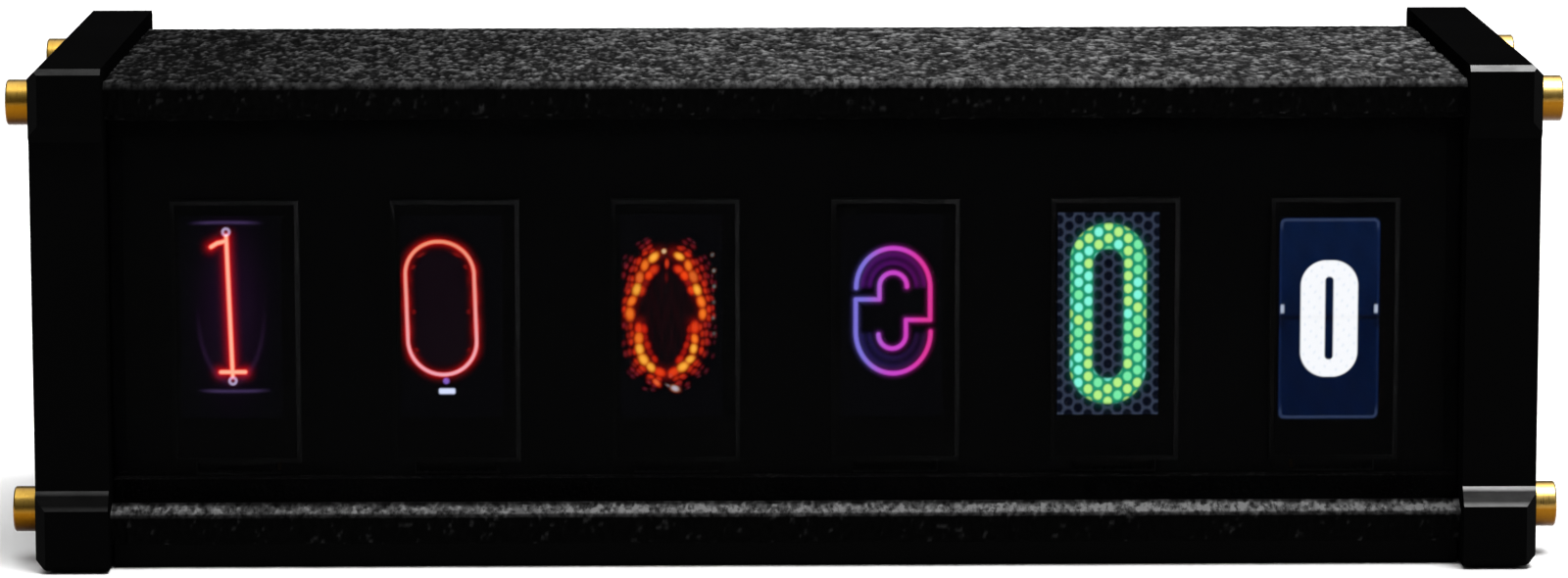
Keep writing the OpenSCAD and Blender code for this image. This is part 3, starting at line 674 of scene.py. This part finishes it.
def card_zero(x, z):
    """A navy split-flap card with a heavy white 0: pale ends, a dark seam, and a pin at each side of it."""
    card = to_slot(x, z, 5.3, 10.75, 0.7)
    up = np.clip((z + 10.7) / 21.4, 0, 1)
    ground = mix(linear(0, 14, 43), linear(5, 22, 54), step(up, 0.35, 0.95))
    ground = cast(ground, 0.86 + 0.14 * np.sin(2.2 * x + 0.6 * z) * np.sin(1.1 * z))
    ends = step(np.abs(card + 0.22), 0.24, 0.04) * step(np.abs(z), 9.2, 10.0)
    ground = mix(ground, linear(70, 84, 116), 0.42 * ends)
    sides = step(np.abs(card + 0.18), 0.2, 0.04) * (1 - ends)
    ground = mix(ground, linear(24, 40, 78), 0.35 * sides)
    seam = step(np.abs(z - 0.12), 0.34, 0.1)
    shade = step(np.abs(z + 0.55), 0.7, 0.1) * step(np.abs(x), 4.3, 5.0)
    ground = cast(cast(ground, 1 - 0.8 * seam), 1 - 0.6 * shade)
    pin = step(np.abs(np.abs(x) - 4.95), 0.26, 0.12) * step(np.abs(z - 1.05), 0.6, 0.28)
    ground = mix(ground, linear(176, 186, 206), 0.9 * pin)
    outer = to_slot(x, z, 3.02, 6.22, 2.7)
    hole = to_slot(x, z - 0.05, 0.44, 4.42, 0.42)
    figure = step(outer, 0.08, -0.08) * step(hole, -0.08, 0.08)
    fleck = step(np.sin(5.4 * x + 0.7 * np.sin(z)) * np.sin(3.9 * z + 0.9 * np.sin(2 * x)), 0.62, 0.95)
    white = cast(mix(linear(246, 248, 252), linear(212, 224, 240), 0.5 * fleck), 1 - 0.03 * seam)
    return cast(mix(ground, white, figure), step(card, 0.06, -0.06))


def sheet_faces():
    """The quads of a picture's sheet, and the numbers of the vertices round its rim, in order."""
    wide = COLUMNS + 1
    faces = []
    for r in range(ROWS):
        for c in range(COLUMNS):
            i = r * wide + c
            faces.append((i, i + 1, i + wide + 1, i + wide))
    rim = list(range(COLUMNS))
    rim += [r * wide + COLUMNS for r in range(ROWS)]
    rim += [ROWS * wide + c for c in range(COLUMNS, 0, -1)]
    rim += [r * wide for r in range(ROWS, 0, -1)]
    return faces, rim


def light_display(number, draw, shift=(0.0, 0.0), slide=(-0.45, 0.0), lean=0.0):
    """A fine sheet over a display's lit area whose vertices carry the colours of its picture.

    Slide moves the lit area on its glass. Shift moves the picture within the lit area, and lean tilts it. A
    narrow wall round the rim joins the sheet to the glass.
    """
    low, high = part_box(f"lcd_glass_{number}")
    frame_low, frame_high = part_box(f"lcd_frame_{number}")
    cx = (frame_low.x + frame_high.x) / 2 + slide[0] * MM
    cz = frame_high.z - (ACTIVE_TOP + ACTIVE_H / 2 - slide[1]) * MM
    front = low.y - SHEET_LIFT * MM
    u = np.linspace(-ACTIVE_W / 2, ACTIVE_W / 2, COLUMNS + 1)
    v = np.linspace(-ACTIVE_H / 2, ACTIVE_H / 2, ROWS + 1)
    gx, gz = np.meshgrid(u, v)
    colours = draw(gx - shift[0] + lean * gz, gz - shift[1]) + UNLIT
    edge = np.maximum(np.abs(gx) - ACTIVE_W / 2, np.abs(gz) - ACTIVE_H / 2)
    colours = cast(colours, step(edge, 0.03, -0.05))
    verts = [(cx + a * MM, front, cz + b * MM) for a, b in zip(gx.ravel(), gz.ravel())]
    faces, rim = sheet_faces()
    first_back = len(verts)
    verts += [(verts[i][0], low.y, verts[i][2]) for i in rim]
    for j, i in enumerate(rim):
        nxt = (j + 1) % len(rim)
        faces.append((rim[nxt], i, first_back + j, first_back + nxt))
    mesh = bpy.data.meshes.new(f"display_picture_{number}")
    mesh.from_pydata(verts, [], faces)
    pixel = mesh.color_attributes.new("pixel", "FLOAT_COLOR", "POINT")
    flat = np.zeros((len(verts), 4), np.float32)
    flat[:, 3] = 1
    flat[:first_back, :3] = np.clip(colours.reshape(-1, 3), 0, 1)
    pixel.data.foreach_set("color", flat.ravel())
    mesh.materials.append(PIXELS.mat)
    mesh.update()
    picture = placed(mesh.name, mesh)
    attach(picture, "case")


light_display(1, wire_one, shift=(0.0, 1.1))
light_display(2, outline_zero, shift=(-1.05, 0.85), lean=0.03)
light_display(3, ember_zero, shift=(-0.5, 0.3))
light_display(4, woven_zero, shift=(0.2, 0.45))
light_display(5, honeycomb_zero, slide=(-0.75, 0.1))
light_display(6, card_zero, slide=(-0.6, -0.5))


# ---------------------------------------------------------------- small metal parts


def bar(bm, low, high, chamfer):
    """A block with chamfered edges added to bm. Metres."""
    size = Vector(high) - Vector(low)
    made = bmesh.ops.create_cube(bm, size=1.0)["verts"]
    bmesh.ops.scale(bm, vec=size, verts=made)
    bmesh.ops.translate(bm, vec=(Vector(low) + Vector(high)) / 2, verts=made)
    edges = list({e for v in made for e in v.link_edges})
    bmesh.ops.bevel(bm, geom=edges, offset=chamfer, segments=2, affect="EDGES", profile=0.6)


def socket_contacts():
    """Gold contacts on both faces of the power socket's tongue."""
    low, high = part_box("usb_tongue")
    count = 12
    pitch, half_wide, thick, chamfer = 0.5 * MM, 0.13 * MM, 0.04 * MM, 0.015 * MM
    y0, y1 = high.y - 4.2 * MM, high.y - 0.35 * MM
    middle = (low.x + high.x) / 2
    bm = bmesh.new()
    for i in range(count):
        x = middle + (i - (count - 1) / 2) * pitch
        for z0, z1 in ((high.z, high.z + thick), (low.z - thick, low.z)):
            bar(bm, (x - half_wide, y0, z0), (x + half_wide, y1, z1), chamfer)
    bmesh.ops.recalc_face_normals(bm, faces=bm.faces)
    mesh = bpy.data.meshes.new("socket_contacts")
    bm.to_mesh(mesh)
    bm.free()
    mesh.materials.append(plated("gold_contact", 0.8, 0.24, (1.0, 0.74, 0.32)).mat)
    contacts = placed(mesh.name, mesh)
    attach(contacts, "case")


socket_contacts()


# ---------------------------------------------------------------- powder coat in relief

# In millimetres: the mesh's cells along the case and round its profile, the gap under the coat, and the
# height of its crumbs.
STEP_ALONG = 0.13
STEP_ROUND = 0.34
COAT_LIFT = 0.015
COAT_RISE = 0.2
# How far the coat stops short of the end caps. Millimetres.
COAT_SHORT = 0.02
# The upward part of the direction above which the profile counts as flat roof, or as a rounded edge.
FLAT_UP, ROUNDED_UP = 0.95, 0.3
# The power that sharpens the painted highlight on the crumbs' tips.
TIP_POWER = 1.7
# The shells' profile as the coat follows it: bevel, lip's face, lip's slope, and the depth of that slope.
SHELL_EDGE, LIP_FACE, LIP_RISE, LIP_DEEP = 0.4, 3.1, 1.0, 2.38
# Stretches along the case over which the coat and its painted highlight change, in millimetres from its
# middle. The painted highlight on the roof and the lower lips grows towards the right, where the light falls.
GRAIN_TURNS = (-50.0, 45.0)
ROOF_SOFTENS = (-85.0, -10.0)
ROOF_LIGHTENS = (-85.0, 25.0)
REAR_NO_HIGHLIGHT = (-20.0, 35.0)
LIPS_LIGHTEN = (-75.0, 40.0)


def smoothed(field, round_mm, along_mm):
    """A field blurred by a Gaussian that wraps at its edges, scaled to unit spread."""
    waves = [np.fft.fftfreq(n) for n in field.shape]
    sigmas = round_mm / STEP_ROUND, along_mm / STEP_ALONG
    reach = (waves[0][:, None] * sigmas[0]) ** 2 + (waves[1][None, :] * sigmas[1]) ** 2
    gain = np.exp(-2 * math.pi ** 2 * reach)
    out = np.fft.ifft2(np.fft.fft2(field) * gain).real
    return (out - out.mean()) / out.std()


def along_profile(points, gap):
    """Points about gap apart along a polyline in (y, z), each with its outward direction, to the left."""
    places, ways = [], []
    for (y0, z0), (y1, z1) in zip(points, points[1:]):
        length = math.hypot(y1 - y0, z1 - z0)
        count = max(1, round(length / gap))
        way = (-(z1 - z0) / length, (y1 - y0) / length)
        for i in range(count + 1):
            t = i / count
            place = (y0 + (y1 - y0) * t, z0 + (z1 - z0) * t)
            if places and math.dist(places[-1], place) < 1e-6:
                ways[-1] = ((ways[-1][0] + way[0]) / 2, (ways[-1][1] + way[1]) / 2)
                continue
            places.append(place)
            ways.append(way)
    ways = [(a / math.hypot(a, b), b / math.hypot(a, b)) for a, b in ways]
    return places, ways


def highlight_share(height):
    """How strong the painted highlight on a crumb is, 0 to 1, from its height in units of the spread."""
    return np.clip((height + 0.9) / 2.6, 0, 1)


def grid_mesh(name, verts, rows, columns):
    """A smooth mesh of quads through a grid of points. Metres."""
    corner = (np.arange(rows - 1)[:, None] * columns + np.arange(columns - 1)[None, :]).ravel()
    faces = np.stack([corner, corner + 1, corner + columns + 1, corner + columns], 1)
    mesh = bpy.data.meshes.new(name)
    mesh.vertices.add(len(verts))
    mesh.vertices.foreach_set("co", verts.astype(np.float32).ravel())
    mesh.loops.add(faces.size)
    mesh.loops.foreach_set("vertex_index", faces.ravel().astype(np.int32))
    mesh.polygons.add(len(faces))
    mesh.polygons.foreach_set("loop_start", np.arange(0, faces.size, 4, dtype=np.int32))
    mesh.polygons.foreach_set("use_smooth", np.ones(len(faces), bool))
    return mesh


class Skin:
    """A layer of crumbs over a shell's outer profile, from one end cap to the other.

    It is a grid: rows of points round the profile, columns of points along the case. Height is a crumb's, in
    units of the spread. Lit tips says how strong the painted highlight is at each point, 0 to 1.
    """

    def __init__(self, points, seed):
        low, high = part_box("top_shell")
        start, end = low.x / MM + COAT_SHORT, high.x / MM - COAT_SHORT
        self.xs = np.linspace(start, end, round((end - start) / STEP_ALONG) + 1)
        places, ways = along_profile(points, STEP_ROUND)
        self.around, self.outward = np.asarray(places), np.asarray(ways)
        self.flat = self.outward[:, 1] > FLAT_UP
        self.noise = np.random.default_rng(seed).standard_normal((len(places), len(self.xs)))
        self.height = 0.95 * smoothed(self.noise, 0.24, 0.16) + 0.2 * smoothed(self.noise, 0.8, 0.6)
        self.lowered = np.zeros(len(places))

    def change(self, stretch):
        """0 to 1 over a stretch along the case, as a row of the grid."""
        return step(self.xs, *stretch)[None, :]

    def draw_out_roof(self):
        """Draw the roof's crumbs out from front to rear, most on the left. Its rear edge has lower ones."""
        turn = self.change(GRAIN_TURNS)
        drawn = smoothed(self.noise, 0.42, 0.15) * (1 - turn) + smoothed(self.noise, 0.36, 0.21) * turn
        drawn = 0.95 * drawn + 0.2 * smoothed(self.noise, 1.0, 0.6)
        self.height = np.where(self.flat[:, None], drawn, self.height)
        edge = self.around[self.flat, 0].max()
        self.lowered = step(self.around[:, 0], edge - 3.0, edge - 1.0)

    def roof_highlight(self):
        """Painted highlight on the roof's crumbs: weaker on the left as painted shade, beads on the rounded
        edges, and none along the rear edge on the right.
        """
        least = 0.07 + 0.02 * self.change(GRAIN_TURNS)
        plain = least + (0.99 - 1.2 * least) * highlight_share(self.height) ** TIP_POWER
        rounded = (self.outward[:, 1] > ROUNDED_UP)[:, None] & ~self.flat[:, None]
        beads = 0.25 + 0.5 * highlight_share(smoothed(self.noise, 0.34, 0.18))
        lit_tips = np.where(rounded, beads, plain)
        lit_tips = lit_tips ** (1.35 - 0.35 * self.change(ROOF_SOFTENS))
        # Painted shade: the roof's highlight is weaker on the left, away from the light.
        lit_tips = lit_tips * (0.17 + 0.83 * self.change(ROOF_LIGHTENS))
        edge = self.around[self.flat, 0].max()
        no_highlight = step(self.around[:, 0], edge - 2.2, edge - 1.2)[:, None] * self.change(REAR_NO_HIGHLIGHT)
        return lit_tips * (1 - 0.95 * no_highlight)

    def lip_highlight(self):
        """Painted highlight along the outer half of a lower lip's slope, stronger towards the right, where
        the light falls.
        """
        reach = np.abs(self.around[:, 0])
        inset = (reach.max() - reach) / np.ptp(reach)
        band = step(inset, -0.06, 0.14) * (1 - 0.93 * step(inset, 0.42, 0.84))
        lit_tips = (0.4 + 0.8 * highlight_share(self.height) ** TIP_POWER) * band[:, None]
        return lit_tips * (0.8 + 1.1 * self.change(LIPS_LIGHTEN))

    def lay(self, name, lit_tips, look):
        """Build the skin as a piece of the case. Its upright faces have only a few specks of painted glint.
        """
        specks = 0.003 + 0.07 * step(smoothed(self.noise, 0.14, 0.2), 1.3, 2.6)
        up = step(self.outward[:, 1], 0.1, 0.6)[:, None]
        lit_tips = lit_tips * up + specks * (1 - up)
        relief = 1 / (1 + np.exp(-1.9 * self.height))
        # The skin's two long edges have no crumbs.
        relief[[0, -1], :] = 0
        out = COAT_LIFT + COAT_RISE * relief * (1 - 0.8 * self.lowered)[:, None]
        rows, columns = self.noise.shape
        verts = np.empty((rows, columns, 3))
        verts[..., 0] = self.xs[None, :]
        verts[..., 1:] = self.around[:, None, :] + self.outward[:, None, :] * out[..., None]
        mesh = grid_mesh(name, (verts * MM).reshape(-1, 3), rows, columns)
        crest_highlight = mesh.attributes.new("crest_highlight", "FLOAT", "POINT")
        crest_highlight.data.foreach_set("value", lit_tips.astype(np.float32).ravel())
        mesh.materials.append(look.mat)
        mesh.update(calc_edges=True)
        mesh.validate()
        piece = placed(name, mesh)
        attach(piece, "case")


def coat_shells():
    """Relief over the roof with both upper lips, and over both lower lips."""
    look = sand_coat("sand_relief", "crest_highlight")
    low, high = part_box("top_shell")
    y0, y1, z1 = low.y / MM, high.y / MM, high.z / MM
    z0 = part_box("bottom_shell")[0].z / MM
    # Each corner of a lip's profile: how far in from the face, and how far from the roof or the floor.
    corners = ((LIP_DEEP, LIP_FACE + LIP_RISE), (0.0, LIP_FACE), (0.0, SHELL_EDGE), (SHELL_EDGE, 0.0))
    front = [(y0 + inward, z1 - off) for inward, off in corners]
    rear = [(y1 - inward, z1 - off) for inward, off in reversed(corners)]
    roof = Skin(front + rear, seed=3)
    roof.draw_out_roof()
    roof.lay("roof_coat", roof.roof_highlight(), look)
    front_lip = Skin([(y0 + inward, z0 + off) for inward, off in reversed(corners)], seed=4)
    front_lip.lay("front_lip_coat", front_lip.lip_highlight(), look)
    rear_lip = Skin([(y1 - inward, z0 + off) for inward, off in corners], seed=5)
    rear_lip.lay("rear_lip_coat", rear_lip.lip_highlight(), look)


coat_shells()


# ---------------------------------------------------------------- stage, light and camera


def plain_floor():
    """A wide sheet of white paper, a hair below the case's feet."""
    bm = bmesh.new()
    bmesh.ops.create_grid(bm, x_segments=8, y_segments=8, size=6.0)
    bmesh.ops.translate(bm, vec=(0, 0, -0.02 * MM), verts=bm.verts)
    mesh = bpy.data.meshes.new("floor")
    bm.to_mesh(mesh)
    bm.free()
    floor = placed("floor", mesh)
    look = Look("floor_paper", Roughness=0.9, Specular_IOR_Level=0.0)
    look.feed("Base Color", look.blend(look.noise(3, 2.0, 0.5), grey(0.90), grey(0.93)))
    mesh.materials.append(look.mat)


def soft_box(name, place, target, width, depth, watts):
    """A rectangular lamp at a place, turned towards its target."""
    lamp = bpy.data.lights.new(name, "AREA")
    lamp.shape = "RECTANGLE"
    lamp.size = width
    lamp.size_y = depth
    lamp.energy = watts
    holder = placed(name, lamp)
    holder.location = place
    holder.rotation_euler = (Vector(target) - Vector(place)).to_track_quat("-Z", "Y").to_euler()


def studio_world():
    """Brighter overhead than at the horizon, as in a room lit from its ceiling."""
    horizon, overhead = 0.02, 0.45
    world = bpy.data.worlds.new("studio")
    bpy.context.scene.world = world
    world.use_nodes = True
    tree = world.node_tree
    back = tree.nodes["Background"]
    where = tree.nodes.new("ShaderNodeTexCoord").outputs["Generated"]
    split = tree.nodes.new("ShaderNodeSeparateXYZ")
    tree.links.new(where, split.inputs[0])
    band = tree.nodes.new("ShaderNodeValToRGB")
    band.color_ramp.elements[0].position = 0.3
    band.color_ramp.elements[0].color = grey(horizon)
    band.color_ramp.elements[1].position = 0.85
    band.color_ramp.elements[1].color = grey(overhead)
    tree.links.new(split.outputs["Z"], band.inputs["Fac"])
    tree.links.new(band.outputs["Color"], back.inputs["Color"])
    back.inputs["Strength"].default_value = 1.0


def place_camera():
    """The fitted view: a long lens a little left of the middle, tilted down. Angles are in radians."""
    yaw, pitch, roll = -0.01076, 0.1487, -0.0015
    place_mm = Vector((-7.03, -659.7, 124.37))
    focal_px, image_w_px, sensor_mm = 6242.5, 1600, 36.0
    ahead = Vector((-math.cos(pitch) * math.sin(yaw), math.cos(pitch) * math.cos(yaw), -math.sin(pitch)))
    right = Vector((math.cos(yaw), math.sin(yaw), 0.0))
    up = right.cross(ahead)
    c, s = math.cos(roll), math.sin(roll)
    turned_right = right * c + up * s
    turned_up = up * c - right * s
    lens = bpy.data.cameras.new("view")
    lens.sensor_fit = "HORIZONTAL"
    lens.sensor_width = sensor_mm
    lens.lens = focal_px * sensor_mm / image_w_px
    lens.clip_start = 0.01
    lens.clip_end = 50.0
    camera = placed("view", lens)
    turn = Matrix((turned_right, turned_up, -ahead)).transposed()
    camera.matrix_world = Matrix.Translation(place_mm * MM) @ turn.to_4x4()
    bpy.context.scene.camera = camera


plain_floor()
soft_box("key", (0.30, -0.22, 1.15), (0.0, 0.0, 0.0), width=0.75, depth=0.55, watts=18.0)
soft_box("ceiling", (0.0, 0.7, 2.2), (0.0, 0.7, 0.0), width=3.2, depth=3.2, watts=60.0)
studio_world()
place_camera()
bpy.context.scene.view_settings.view_transform = "Standard"
